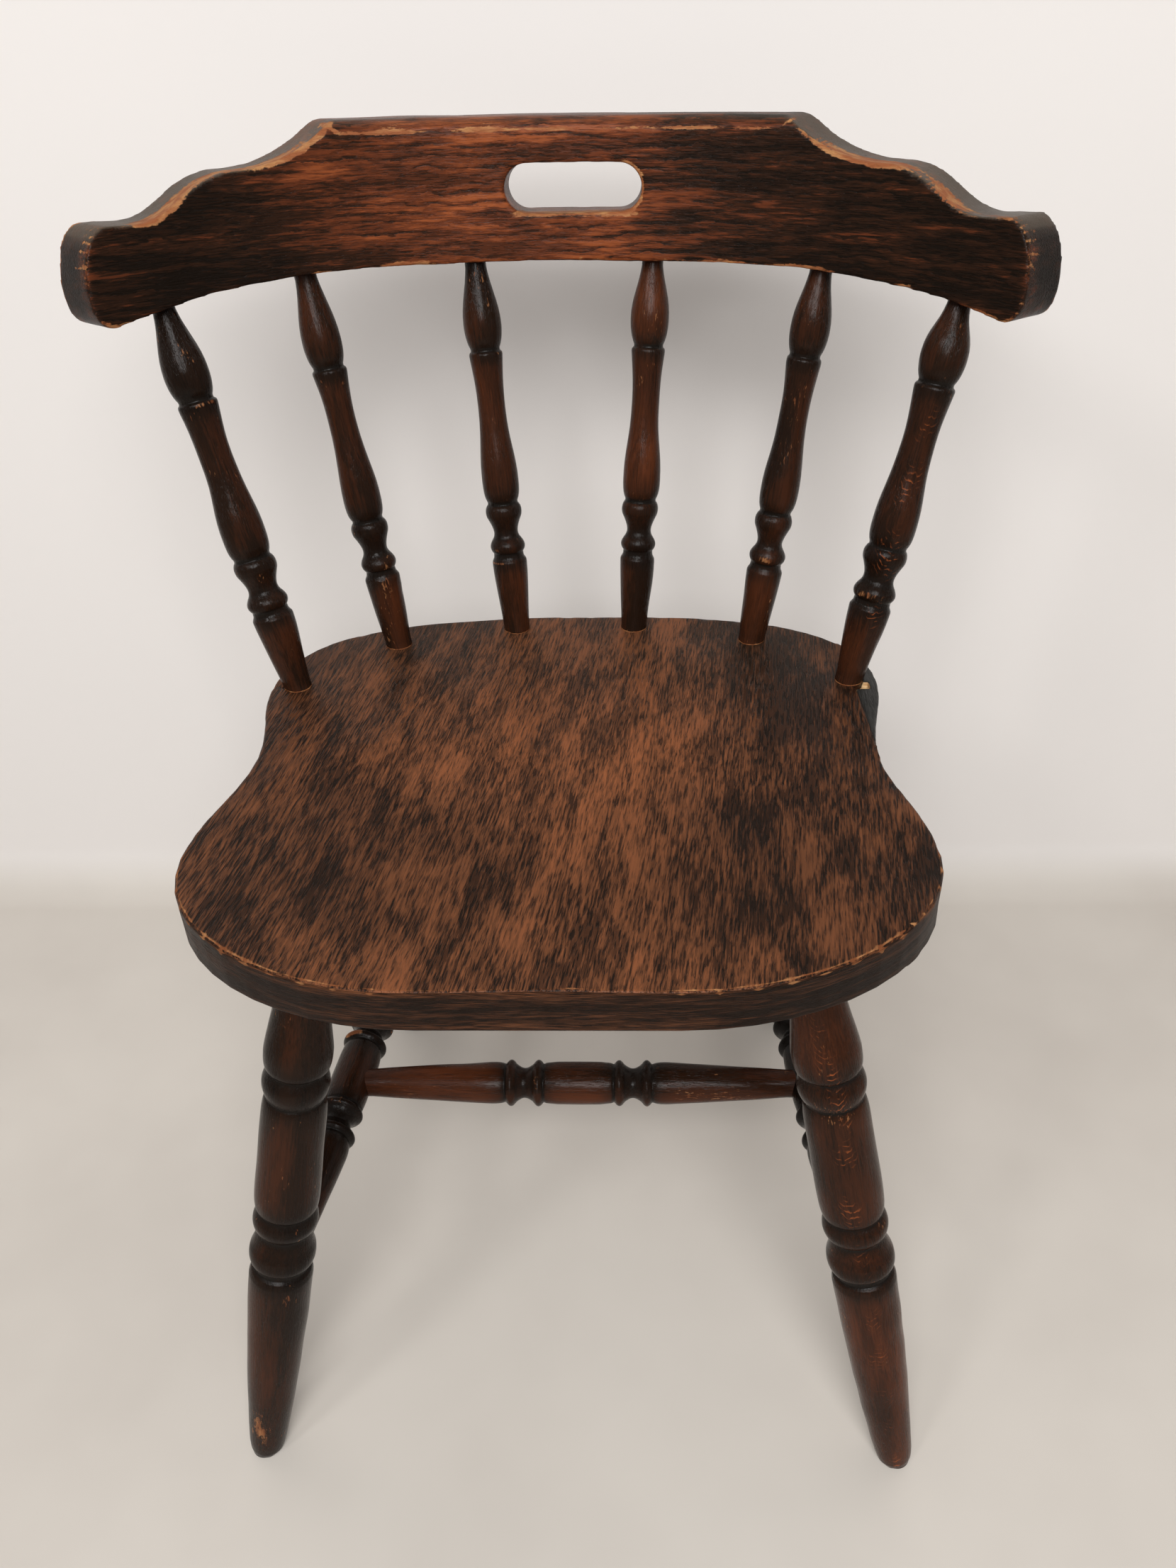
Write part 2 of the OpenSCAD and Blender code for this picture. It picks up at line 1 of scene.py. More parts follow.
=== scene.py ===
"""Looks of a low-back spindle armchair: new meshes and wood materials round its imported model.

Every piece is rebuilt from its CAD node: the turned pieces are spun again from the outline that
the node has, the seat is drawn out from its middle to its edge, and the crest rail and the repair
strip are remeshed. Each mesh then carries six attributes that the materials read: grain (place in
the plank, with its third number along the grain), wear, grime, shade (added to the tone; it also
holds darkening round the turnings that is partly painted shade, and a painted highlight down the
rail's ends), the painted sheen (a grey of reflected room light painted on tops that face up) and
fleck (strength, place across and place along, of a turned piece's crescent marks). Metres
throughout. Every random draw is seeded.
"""
import math

import bmesh
import bpy
import numpy as np
from mathutils import Matrix, Vector
from mathutils.bvhtree import BVHTree


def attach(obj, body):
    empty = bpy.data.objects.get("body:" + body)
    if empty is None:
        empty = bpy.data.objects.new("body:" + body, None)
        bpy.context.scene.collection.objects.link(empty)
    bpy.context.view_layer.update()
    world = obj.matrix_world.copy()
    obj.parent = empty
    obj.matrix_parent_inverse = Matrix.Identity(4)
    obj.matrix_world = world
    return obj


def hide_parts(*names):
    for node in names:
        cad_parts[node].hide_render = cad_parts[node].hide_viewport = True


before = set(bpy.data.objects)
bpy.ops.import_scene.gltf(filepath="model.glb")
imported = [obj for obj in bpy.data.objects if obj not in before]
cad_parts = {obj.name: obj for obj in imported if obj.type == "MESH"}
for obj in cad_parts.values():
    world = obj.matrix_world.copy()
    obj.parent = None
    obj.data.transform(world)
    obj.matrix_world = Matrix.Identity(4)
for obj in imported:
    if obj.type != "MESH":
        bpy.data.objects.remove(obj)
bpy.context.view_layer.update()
MM = 0.001

# ---- Places in the chair that the looks refer to. The seam is between seat and repair strip.
SEAT_TOP = 0.450
SEAT_UNDER = 0.420
SEAT_MIDDLE = Vector((0.0, -0.020, 0.0))
SEAM_REACH = (0.195, 0.2035)
STRIP_CHIP_Y = 0.0718
STRIP_CHIP_SIDE = 0.2125
RAIL_ORIGIN = Vector((0.0, 0.2198, 0.706))
RAIL_LEAN = math.radians(4)
RAIL_DIP = math.radians(1)
RAIL_RADIUS = 0.376
RAIL_HALF_LENGTH = 0.3273
SLOT_LOWER_EDGE = 29.5 * MM

# ---- Fineness of the meshes: a turned piece's outline is read in steps of OUTLINE_PITCH, at
# ---- OUTLINE_SHARES places on each CAD edge. RING_GAP and RING_ERROR limit how far apart rings are.
OUTLINE_PITCH = 0.25 * MM
OUTLINE_SHARES = 161
RING_GAP = 6 * MM
RING_ERROR = 0.025 * MM
SPIN_SIDES = 64
SEAT_COLUMNS, SEAT_ROWS_TOP, SEAT_ROWS_UNDER = 600, 58, 14
RAIL_CELL, RAIL_EASE = 1.5 * MM, 4
STRIP_CELL, STRIP_EASE = 0.7 * MM, 3

# ---- Edges: how far an outline or surface stands out or in where wear or grime is full
TURNED_EDGE, TURNED_GROOVE = 0.30 * MM, 0.32 * MM
SEAT_EDGE, RAIL_EDGE, RAIL_HOLLOW = 0.35 * MM, 0.55 * MM, 0.6 * MM
SEAT_EASE_TOP, SEAT_EASE_UNDER, SEAM_EASE = 2.4 * MM, 1.8 * MM, 0.5 * MM

# ---- Camera, taken from the photograph's perspective
CAMERA_AT = Vector((0.0527, -0.6746, 0.8911))
CAMERA_YAW = -0.0571
CAMERA_PITCH = 0.6109
CAMERA_ROLL = -0.0411
LENS_MM = 28.07

# ---- Colours, linear
BARE_WOOD = (0.40, 0.19, 0.075, 1)
BARE_RED = (0.26, 0.085, 0.032, 1)
GRIME = (0.0075, 0.0055, 0.0042, 1)
# Grey of the painted sheen: reflected room light painted into the wood's colour.
PAINTED_SHEEN_GREY = (0.115, 0.085, 0.060, 1)
FLECK_RED = (0.24, 0.062, 0.018, 1)
FLOOR_TONES = ((0.55, 0.505, 0.455, 1), (0.62, 0.575, 0.52, 1))
WALL_TONE = (0.76, 0.725, 0.70, 1)

# ---- Patterns: the crescent marks' spacing and bow, and how the grain lies in the seat
FLECK_PITCH, FLECK_BOW = 4.2 * MM, 90.0
SEAT_GRAIN_SKEW = 0.12
SEAT_SIDE_STRETCH, SEAT_SIDE_RADIUS, SEAT_SIDE_PLACE = 4, 0.22, 0.7

# ---- Light
ROOM_TINT, ROOM_STRENGTH = (1.0, 0.99, 0.98, 1), 0.30
LAMPS = {
    "broad_light": dict(place=(0.1, -1.9, 2.0), target=(0.0, 0.1, 0.4), size=1.6, watts=62),
    "window_light": dict(place=(-1.4, -1.7, 2.3), target=(0.0, 0.0, 0.4), size=0.5, watts=11),
}


# ======================================================================== numbers and meshes

def wander(points, size, seed, waves=16):
    """Smooth noise of about unit height whose bumps are about size across."""
    rng = np.random.default_rng(seed)
    pull = rng.normal(size=(waves, 3))
    pull /= np.linalg.norm(pull, axis=1)[:, None]
    pull *= (2 * math.pi / size * rng.uniform(0.5, 1.5, waves))[:, None]
    return np.sin(points @ pull.T + rng.uniform(0, 2 * math.pi, waves)).sum(1) / math.sqrt(waves / 2)


def step(low, high, x):
    """0 below low, 1 above high, and smooth between them. low may be the larger."""
    t = np.clip((x - low) / (high - low), 0, 1)
    return t * t * (3 - 2 * t)


def blurred(values, sigma):
    """values smoothed along their length, with sigma in samples."""
    reach = int(sigma * 4) + 1
    weights = np.exp(-0.5 * (np.arange(-reach, reach + 1) / sigma) ** 2)
    padded = np.pad(values, reach, mode="edge")
    return np.convolve(padded, weights / weights.sum(), mode="valid")


def dents(points, normals, count, seed, radius, depth):
    """How far each point is knocked in by a few small dents."""
    rng = np.random.default_rng(seed)
    push = np.zeros(len(points))
    for middle in points[rng.integers(0, len(points), count)]:
        size = radius * rng.uniform(0.5, 1.4)
        off = np.linalg.norm(points - middle, axis=1) / size
        push = np.maximum(push, depth * rng.uniform(0.4, 1) * np.exp(-off ** 2))
    return push[:, None] * -normals


def mesh_points(mesh):
    co = np.empty(len(mesh.vertices) * 3)
    mesh.vertices.foreach_get("co", co)
    return co.reshape(-1, 3)


def mesh_normals(mesh):
    no = np.empty(len(mesh.vertices) * 3)
    mesh.vertex_normals.foreach_get("vector", no)
    return no.reshape(-1, 3)


def edge_ends(mesh):
    """The two vertices of every edge, as two arrays."""
    ends = np.empty(len(mesh.edges) * 2, int)
    mesh.edges.foreach_get("vertices", ends)
    return ends.reshape(-1, 2).T


def relief(mesh, passes):
    """How far each vertex stands out from its smoothed surroundings, in metres."""
    co = mesh_points(mesh)
    a, b = edge_ends(mesh)
    n = len(co)
    count = np.bincount(a, minlength=n) + np.bincount(b, minlength=n)
    soft = co.copy()
    for _ in range(passes):
        for k in range(3):
            near = np.bincount(a, soft[b, k], n) + np.bincount(b, soft[a, k], n)
            soft[:, k] = (soft[:, k] + near / count) / 2
    return ((co - soft) * mesh_normals(mesh)).sum(1)


def build_mesh(name, points, faces):
    mesh = bpy.data.meshes.new(name)
    mesh.from_pydata(points.tolist(), [], faces)
    work = bmesh.new()
    work.from_mesh(mesh)
    bmesh.ops.remove_doubles(work, verts=work.verts, dist=1e-7)
    bmesh.ops.recalc_face_normals(work, faces=work.faces)
    work.to_mesh(mesh)
    work.free()
    return mesh


def set_points(mesh, co):
    mesh.vertices.foreach_set("co", np.ascontiguousarray(co, dtype=np.float32).ravel())
    mesh.update()


def set_attribute(mesh, name, values, domain="POINT"):
    """Stores one number, or one row of three, for each vertex or face corner."""
    vector = values.ndim == 2
    attribute = mesh.attributes.new(name, "FLOAT_VECTOR" if vector else "FLOAT", domain)
    attribute.data.foreach_set("vector" if vector else "value", values.astype(np.float32).ravel())


def show(name, mesh, node, material):
    """Puts a finished mesh in the scene in place of its CAD node."""
    piece = bpy.data.objects.new(name, mesh)
    bpy.context.scene.collection.objects.link(piece)
    mesh.polygons.foreach_set("use_smooth", [True] * len(mesh.polygons))
    mesh.materials.append(material)
    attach(piece, "root")
    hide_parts(node)
    return piece


# ======================================================================== turned pieces

def spin_axis(points):
    """The middle and the direction of the line that a turned piece was spun about."""
    middle = points.mean(0)
    direction = np.linalg.svd(points - middle, full_matrices=False)[2][0]
    direction *= np.sign(direction[2] + 0.1 * direction[0] + 0.01 * direction[1])
    for _ in range(4):
        side = np.cross(direction, (0, 1, 0) if abs(direction[1]) < 0.9 else (0, 0, 1))
        side /= np.linalg.norm(side)
        across = np.cross(direction, side)
        t = (points - middle) @ direction
        cell = np.floor((t - t.min()) / (4 * MM)).astype(int)
        rows = []
        for c in range(cell.max() + 1):
            ring = points[cell == c] - middle
            if len(ring) > 24:
                u, v = ring @ side, ring @ across
                rows.append((t[cell == c].mean(), (u.min() + u.max()) / 2, (v.min() + v.max()) / 2))
        rows = np.array(rows)
        keep = np.ones(len(rows), bool)
        for _ in range(3):
            fits = [np.polyfit(rows[keep, 0], rows[keep, k], 1) for k in (1, 2)]
            off = [np.abs(rows[:, k + 1] - np.polyval(fits[k], rows[:, 0])) for k in (0, 1)]
            keep = off[0] + off[1] < 0.4 * MM
        middle = middle + side * fits[0][1] + across * fits[1][1]
        direction = direction + side * fits[0][0] + across * fits[1][0]
        direction /= np.linalg.norm(direction)
    return middle, direction


def outline_of(mesh, points, middle, direction):
    """The first step's place on the axis, and the outer radius there and at each further step."""
    one, other = points[edge_ends(mesh)]
    along = (points - middle) @ direction
    radius = np.zeros(round(np.ptp(along) / OUTLINE_PITCH) + 1)
    for share in np.linspace(0, 1, OUTLINE_SHARES):
        at = one + share * (other - one) - middle
        t = at @ direction
        cell = np.round((t - along.min()) / OUTLINE_PITCH).astype(int)
        np.maximum.at(radius, cell, np.linalg.norm(at - t[:, None] * direction, axis=1))
    known = np.nonzero(radius > 0)[0]
    return along.min(), np.interp(np.arange(len(radius)), known, radius[known])


def ring_places(radius, always):
    """Steps at which to put rings: close where the outline bends, far apart where it is straight."""
    picked, i, last = [0], 0, len(radius) - 1
    while i < last:
        j = i + 1
        while j < last and (j - i) * OUTLINE_PITCH < RING_GAP and not always[j]:
            line = np.interp(np.arange(i, j + 2), [i, j + 1], [radius[i], radius[j + 1]])
            if np.abs(line - radius[i:j + 2]).max() > RING_ERROR:
                break
            j += 1
        picked.append(j)
        i = j
    return np.array(picked)


def spun_faces(rings, sides):
    """Quads between rings of points, shut by a fan at each end round the last two points."""
    row, column = np.meshgrid(np.arange(rings - 1), np.arange(sides), indexing="ij")
    beside = (column + 1) % sides
    quads = np.stack([row * sides + column, row * sides + beside,
                      (row + 1) * sides + beside, (row + 1) * sides + column], -1).reshape(-1, 4)
    faces = quads.tolist()
    for ring, tip in ((0, rings * sides), ((rings - 1) * sides, rings * sides + 1)):
        faces += [[tip, ring + k, ring + (k + 1) % sides] for k in range(sides)]
    return faces


def spin(node, slot, material, seed, worn=0.32, shade=0.0, rubs=(), flecked=0.0):
    """Spins a turned node again, with eased edges, small dents and the attributes of its wear.

    Each rub is a worn place: its middle, its reach in metres and its strength.
    """
    cad_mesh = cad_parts[node].data
    points = mesh_points(cad_mesh)
    middle, direction = spin_axis(points)
    start, radius = outline_of(cad_mesh, points, middle, direction)
    eased = blurred(radius, 1.5)
    eased[:3], eased[-3:] = radius[:3], radius[-3:]
    bend = eased - blurred(eased, 7)
    # Darkening round the rings and grooves, carried in the shade attribute: partly grime, partly painted
    # shade of rings lying under a bulb or beside a bead.
    turning_grime_and_shade = np.clip(2 * blurred(np.clip(np.abs(bend) / (0.2 * MM), 0, 1), 18), 0, 1)
    height = middle[2] + (start + OUTLINE_PITCH * np.arange(len(eased))) * direction[2]
    at_seat = np.abs(height - SEAT_TOP) < 3.5 * MM if "spindle" in node else height < -1
    rings = ring_places(eased, at_seat)

    back = np.array((0.0, 1.0, 0.0))
    side = back - direction * (back @ direction)
    if np.linalg.norm(side) < 0.3:
        side = np.cross(direction, (1.0, 0.0, 0.0))
    side /= np.linalg.norm(side)
    across = np.cross(direction, side)
    turn = np.linspace(0, 2 * math.pi, SPIN_SIDES, endpoint=False)
    spokes = np.cos(turn)[:, None] * side + np.sin(turn)[:, None] * across
    centres = middle + (start + OUTLINE_PITCH * rings)[:, None] * direction
    co = (centres[:, None] + eased[rings, None, None] * spokes[None]).reshape(-1, 3)
    out = np.tile(spokes, (len(rings), 1))
    edge = np.clip(np.repeat(bend[rings], SPIN_SIDES) / TURNED_EDGE, 0, 1)

    uneven = wander(co, 40 * MM, seed) * 0.12 * MM
    rubbed = edge * step(-0.2, 1.2, wander(co, 22 * MM, seed + 1)) * 0.45 * MM * worn
    co += (uneven - rubbed)[:, None] * out
    co += dents(co, out, 14, seed + 2, 2.4 * MM, 0.55 * MM)
    ends = np.array([centres[0], centres[-1]])
    if "leg" in node:
        below = co[:, 2] < 0
        co[below] -= direction * (co[below, 2] / direction[2])[:, None]
        ends[0] -= direction * ends[0, 2] / direction[2]
    mesh = build_mesh(node, np.vstack([co, ends]), spun_faces(len(rings), SPIN_SIDES))

    co = mesh_points(mesh)
    t = (co - middle) @ direction
    around = co - middle - t[:, None] * direction
    offset = np.random.default_rng(seed).uniform(-1, 1, 3) * (0.03, 0.03, 0.5)
    along = np.clip(np.round((t - start) / OUTLINE_PITCH).astype(int), 0, len(bend) - 1)
    edge = np.clip(bend[along] / TURNED_EDGE, 0, 1)
    wear = edge * worn * (0.62 + 0.30 * wander(co, 30 * MM, seed + 3))
    for spot, reach, strength in rubs:
        wear += strength * np.exp(-(np.linalg.norm((co - spot) / reach, axis=1) ** 2))
    if "spindle" in node:
        wear = np.maximum(wear, 0.7 * ((co[:, 2] > SEAT_TOP) & (co[:, 2] < SEAT_TOP + 0.7 * MM)))
    ahead = -side
    arc = around @ np.cross(direction, ahead)
    crooked = np.abs(arc + 2 * MM * wander(co, 60 * MM, seed))
    facing = step(0.0, 8 * MM, around @ ahead) * step(8 * MM, 2 * MM, crooked)
    flecks = facing * flecked * step(-0.2, 1.0, wander(co, 45 * MM, seed + 5))
    set_attribute(mesh, "fleck", np.stack([flecks, arc, t], 1))
    set_attribute(mesh, "grain", np.stack([around @ side, around @ across, t], 1) + offset)
    set_attribute(mesh, "wear", wear)
    set_attribute(mesh, "grime", np.clip(-bend[along] / TURNED_GROOVE, 0, 1))
    set_attribute(mesh, "painted_sheen", np.zeros(len(co)))
    # The darkening round the turnings in this shade is partly painted shade.
    set_attribute(mesh, "shade", shade + 0.08 * wander(co, 120 * MM, seed + 4) - 0.24 * turning_grime_and_shade[along])
    return show(node.replace("leg", "turned_leg"), mesh, node, material)


# ======================================================================== seat

def cad_tree(node):
    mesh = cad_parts[node].data
    return BVHTree.FromPolygons([v.co.copy() for v in mesh.vertices],
                                [list(p.vertices) for p in mesh.polygons])


def seat_mesh():
    """The plank, drawn out from its middle: top, eased edge, side, eased edge and underside."""
    tree = cad_tree("seat")
    probe_z = SEAT_UNDER + 4 * MM
    down = Vector((0, 0, -1))
    corner = [math.pi / 2 * k / 5 for k in range(6)]
    open_middle = 0.004

    def at(out, r, z):
        return SEAT_MIDDLE.x + out.x * r, SEAT_MIDDLE.y + out.y * r, z

    def top_at(out, r):
        hit = tree.ray_cast(at(out, r, 0.6), down)[0]
        return hit.z if hit and hit.z > SEAT_TOP - 6 * MM else SEAT_TOP

    points = []
    for number in range(SEAT_COLUMNS):
        turn = 2 * math.pi * number / SEAT_COLUMNS
        out = Vector((math.cos(turn), math.sin(turn), 0))
        hit = tree.ray_cast(SEAT_MIDDLE + out + Vector((0, 0, probe_z)), -out)[0]
        radius = (hit.xy - SEAT_MIDDLE.xy).length
        at_seam = out.x > 0.7 and SEAM_REACH[0] < out.x * radius < SEAM_REACH[1]
        top_r = SEAM_EASE if at_seam else SEAT_EASE_TOP
        low_r = SEAM_EASE if at_seam else SEAT_EASE_UNDER
        upper, lower = top_at(out, radius - top_r) - top_r, SEAT_UNDER + low_r
        column = []
        for k in range(SEAT_ROWS_TOP):
            r = (radius - top_r) * (open_middle + (1 - open_middle) * k / SEAT_ROWS_TOP)
            column.append(at(out, r, top_at(out, r)))
        column += [at(out, radius - top_r + top_r * math.sin(a), upper + top_r * math.cos(a))
                   for a in corner]
        column += [at(out, radius, upper + (lower - upper) * k / 7) for k in range(1, 7)]
        column += [at(out, radius - low_r + low_r * math.cos(a), lower - low_r * math.sin(a))
                   for a in corner]
        column += [at(out, (radius - low_r) * (1 - (1 - open_middle) * k / SEAT_ROWS_UNDER), SEAT_UNDER)
                   for k in range(1, SEAT_ROWS_UNDER + 1)]
        points.append(column)
    grid = np.array(points)
    columns, rows = grid.shape[:2]
    column, row = np.meshgrid(np.arange(columns), np.arange(rows - 1), indexing="ij")
    beside = (column + 1) % columns
    faces = np.stack([column * rows + row, beside * rows + row,
                      beside * rows + row + 1, column * rows + row + 1], -1).reshape(-1, 4).tolist()
    faces.append([k * rows for k in range(columns)])
    faces.append([k * rows + rows - 1 for k in range(columns)])
    return build_mesh("seat", grid.reshape(-1, 3), faces)


def make_seat(material):
    mesh = seat_mesh()
    co, normals = mesh_points(mesh), mesh_normals(mesh)
    out = relief(mesh, 6)
    upper = co[:, 2] > SEAT_TOP - 12 * MM
    edge = np.clip(out / SEAT_EDGE, 0, 1)
    front = step(0.02, -0.12, co[:, 1])
    lift = wander(co, 60 * MM, 11) * 0.18 * MM
    lift -= edge * step(0, 1.5, wander(co, 18 * MM, 12)) * 0.5 * MM
    inside = step(0.0, 8 * MM, co[:, 2] - SEAT_UNDER)
    co = co + normals * (lift * inside)[:, None] + dents(co, normals, 26, 13, 3 * MM, 0.5 * MM)
    set_points(mesh, co)
    wear = edge ** 3 * upper * (0.12 + 0.66 * front) * (0.9 + 0.15 * wander(co, 45 * MM, 14))
    wear += edge * ~upper * 0.3 * step(0, 1, wander(co, 30 * MM, 15))
    flat_grain = np.stack([co[:, 0] - SEAT_GRAIN_SKEW * co[:, 1], co[:, 2], co[:, 1]], 1)
    around = np.arctan2(co[:, 0], -co[:, 1])
    side_grain = np.stack([co[:, 2] * SEAT_SIDE_STRETCH, np.full(len(co), SEAT_SIDE_PLACE),
                           around * SEAT_SIDE_RADIUS], 1)
    corners = np.empty(len(mesh.loops), int)
    mesh.loops.foreach_get("vertex_index", corners)
    sizes = np.array([len(face.vertices) for face in mesh.polygons])
    on_side = np.repeat([abs(face.normal.z) < 0.55 for face in mesh.polygons], sizes)[:, None]
    set_attribute(mesh, "grain", np.where(on_side, side_grain[corners], flat_grain[corners]), "CORNER")
    set_attribute(mesh, "wear", wear)
    # Painted sheen: the rear of the seat's top is greyed a little, as reflected wall light.
    set_attribute(mesh, "painted_sheen", 0.12 * step(0.02, 0.16, co[:, 1]) * upper)
    set_attribute(mesh, "fleck", np.zeros((len(co), 3)))
    set_attribute(mesh, "grime", step(SEAT_UNDER + 2 * MM, SEAT_UNDER - 1 * MM, co[:, 2]) * 0.5)
    middle = np.exp(-((co[:, 0] - 0.02) / 0.13) ** 2 - ((co[:, 1] + 0.03) / 0.15) ** 2)
    side = step(SEAT_TOP - 2 * MM, SEAT_TOP - 5 * MM, co[:, 2])
    right = step(0.05, 0.18, co[:, 0])
    left = step(-0.06, -0.19, co[:, 0])
    behind = step(0.09, 0.16, co[:, 1])
    shade = 0.23 * middle - 0.18 * right - 0.12 * left - 0.32 * side - 0.04 * behind
    set_attribute(mesh, "shade", shade)
    return show("seat_plank", mesh, "seat", material)


# ======================================================================== remeshed pieces

def remeshed(node, voxel, smoothing):
    """A copy of a CAD node's mesh in even small cells, with its edges eased."""
    source = bpy.data.objects.new(node + "_cells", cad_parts[node].data.copy())
    bpy.context.scene.collection.objects.link(source)
    cells = source.modifiers.new("cells", "REMESH")
    cells.mode = "VOXEL"
    cells.voxel_size = voxel
    ease = source.modifiers.new("ease", "SMOOTH")
    ease.factor = 0.5
    ease.iterations = smoothing
    graph = bpy.context.evaluated_depsgraph_get()
    mesh = bpy.data.meshes.new_from_object(source.evaluated_get(graph))
    mesh.name = node
    mesh.materials.clear()
    bpy.data.objects.remove(source)
    return mesh


def rail_place(co):
    """Place in the rail: along its curve, height above its lower edge, depth from front to back."""
    turn = Matrix.Rotation(RAIL_DIP, 3, "Y") @ Matrix.Rotation(-RAIL_LEAN, 3, "X")
    x, y, z = ((co - np.array(RAIL_ORIGIN)) @ np.array(turn)).T
    along = RAIL_RADIUS * np.arctan2(x, y + RAIL_RADIUS)
    depth = np.hypot(x, y + RAIL_RADIUS) - RAIL_RADIUS
    return along, z, depth


def make_rail(material):
    mesh = remeshed("crest_rail", RAIL_CELL, RAIL_EASE)
    co, normals = mesh_points(mesh), mesh_normals(mesh)
    out = relief(mesh, 14)
    edge = np.clip(out / RAIL_EDGE, 0, 1)
    along, height, depth = rail_place(co)
    lift = wander(co, 70 * MM, 21) * 0.2 * MM
    lift -= edge * step(-0.3, 1.4, wander(co, 20 * MM, 22)) * 0.3 * MM
    co = co + normals * lift[:, None] + dents(co, normals, 30, 23, 3 * MM, 0.6 * MM)
    set_points(mesh, co)
    front = step(4 * MM, -10 * MM, depth)
    bins = np.round((along + RAIL_HALF_LENGTH) / (3 * MM)).astype(int)
    crest = np.zeros(bins.max() + 1)
    np.maximum.at(crest, bins, height)
    below = crest[bins] - height
    raised = step(0.160, 0.146, np.abs(along))
    rubbed_line = np.exp(-((below - 7.5 * MM * raised) / (2.8 * MM - 1.2 * MM * raised)) ** 2) * front
    patchy = wander(co, 55 * MM, 24)
    wear = rubbed_line * (0.60 + 0.16 * patchy - 0.10 * raised * step(-0.10, 0.0, along))
    tip = RAIL_HALF_LENGTH - np.abs(along)
    # A band down each end of the rail's front: partly rubbed bare wood through the wear, partly a painted
    # highlight of light on the rounded ends through the shade.
    end_rub_and_highlight = np.exp(-(tip / (2.5 * MM + 3 * MM * step(0, 0.03, height))) ** 2)
    end_rub_and_highlight *= step(-2 * MM, -12 * MM, depth)
    wear = np.maximum(wear, end_rub_and_highlight * (0.16 + 0.26 * step(-0.01, 0.025, height)))
    slot_edge = step(4 * MM, 1 * MM, np.abs(height - SLOT_LOWER_EDGE)) * step(-0.045, -0.03, along)
    slot_edge *= step(0.062, 0.048, along) * front
    wear = np.maximum(wear, 0.52 * slot_edge)
    wear = np.maximum(wear, 0.42 * edge * (0.7 + 0.5 * patchy))
    # Tops that face up get a painted grey sheen, as of the bright room reflected at a grazing angle,
    # weaker on the raised middle.
    facing_up = step(0.5, 0.85, normals[:, 2])
    set_attribute(mesh, "grain", np.stack([height, depth, along], 1))
    set_attribute(mesh, "wear", wear)
    set_attribute(mesh, "painted_sheen", facing_up * (0.9 * (1 - raised) + 0.25 * raised))
    set_attribute(mesh, "fleck", np.zeros((len(co), 3)))
    grime = np.clip(-out / RAIL_HOLLOW, 0, 1) * 0.8 + 0.3 * step(5 * MM, -1 * MM, tip)
    set_attribute(mesh, "grime", grime)
    far = step(0.15, 0.24, np.abs(along))
    red = np.exp(-((along + 0.085) / 0.10) ** 2)
    low = step(0.030, 0.0, height) * step(0.0, -0.16, along)
    right = step(0.03, 0.09, along)
    # The end band's share of this shade is a painted highlight.
    shade = 0.06 - 0.20 * far + 0.16 * red - 0.10 * low - 0.20 * right * (1 - far) + 0.3 * end_rub_and_highlight
    set_attribute(mesh, "shade", shade - 0.1 * step(4 * MM, 0.0, tip))
    return show("bent_rail", mesh, "crest_rail", material)


def make_strip(material):
    mesh = remeshed("seat_corner_patch", STRIP_CELL, STRIP_EASE)
    co, normals = mesh_points(mesh), mesh_normals(mesh)
    edge = np.clip(relief(mesh, 8) / SEAT_EDGE, 0, 1)
    set_points(mesh, co + normals * (wander(co, 15 * MM, 31) * 0.08 * MM)[:, None])
    chip = (np.abs(co[:, 1] - STRIP_CHIP_Y) < 6.5 * MM) & (co[:, 0] < STRIP_CHIP_SIDE)
    chip &= (co[:, 2] < SEAT_TOP - 0.6 * MM) & (co[:, 2] > SEAT_TOP - 5.2 * MM)
    chip &= normals[:, 2] > -0.3
    set_attribute(mesh, "grain", np.stack([co[:, 0], co[:, 2], co[:, 1]], 1))
    set_attribute(mesh, "wear", 0.25 * edge + 1.5 * chip)
    for name in ("grime", "shade", "painted_sheen"):
        set_attribute(mesh, name, np.zeros(len(co)))
    set_attribute(mesh, "fleck", np.zeros((len(co), 3)))
    return show("repair_strip", mesh, "seat_corner_patch", material)


# ======================================================================== materials

